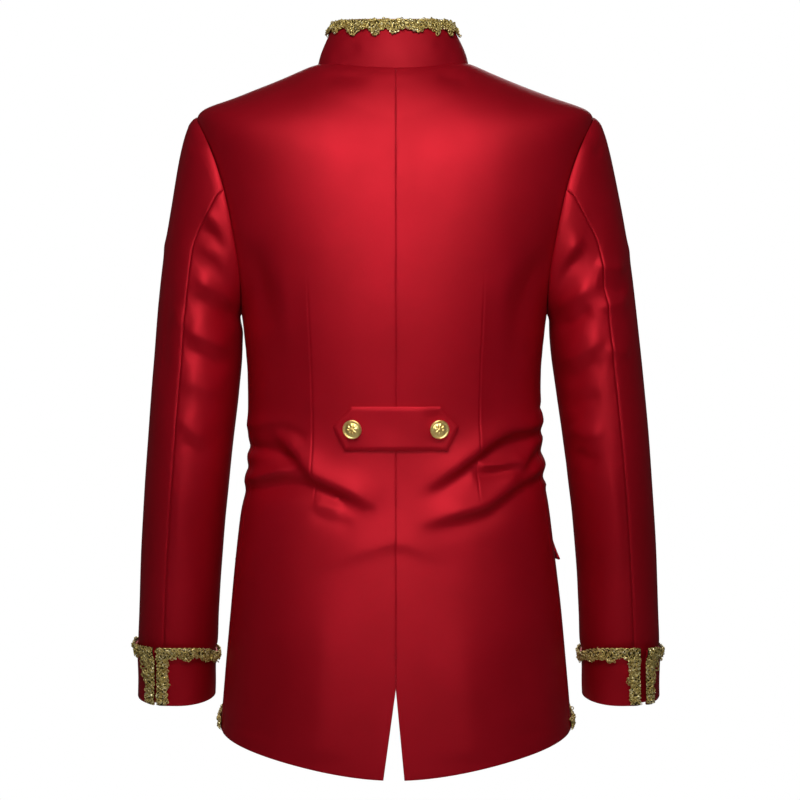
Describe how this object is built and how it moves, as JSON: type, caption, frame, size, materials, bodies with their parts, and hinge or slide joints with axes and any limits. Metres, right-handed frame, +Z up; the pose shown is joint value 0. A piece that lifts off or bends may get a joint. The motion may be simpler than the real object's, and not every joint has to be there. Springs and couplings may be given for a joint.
{
  "type": "military parade jacket",
  "caption": "Fitted satin parade jacket in its worn form: stand collar, two-piece sleeves with cuffs, back vent, buttoned half belt and scalloped gold braid.",
  "frame": {"origin": "middle of the neck opening, level with the neck seam at the centre back, where the wearer's neck and shoulders hold the jacket", "axes": "+Z up, the front faces -Y, the wearer's left is +X"},
  "size_m": [0.5956, 0.2654, 0.814],
  "materials": {
    "satin": "crimson satin with a soft sheen",
    "braid": "gold braid of metal thread and small beads",
    "button": "polished gilt brass"
  },
  "bodies": {
    "root": {"back_left": "satin", "back_right": "satin", "front_left": "satin", "front_right": "satin", "sleeve_top_left": "satin", "sleeve_under_left": "satin", "sleeve_top_right": "satin", "sleeve_under_right": "satin", "cuff_left": "satin", "cuff_right": "satin", "collar": "satin", "half_belt": "satin", "pocket_flap_left": "satin", "pocket_flap_right": "satin", "braid_collar": "braid", "braid_cuff_left": "braid", "braid_cuff_right": "braid", "braid_front_left": "braid", "braid_front_right": "braid", "button_back_left": "button", "button_back_right": "button", "button_front_1": "button", "button_front_2": "button", "button_front_3": "button", "button_front_4": "button", "button_front_5": "button"}
  },
  "joints": []
}
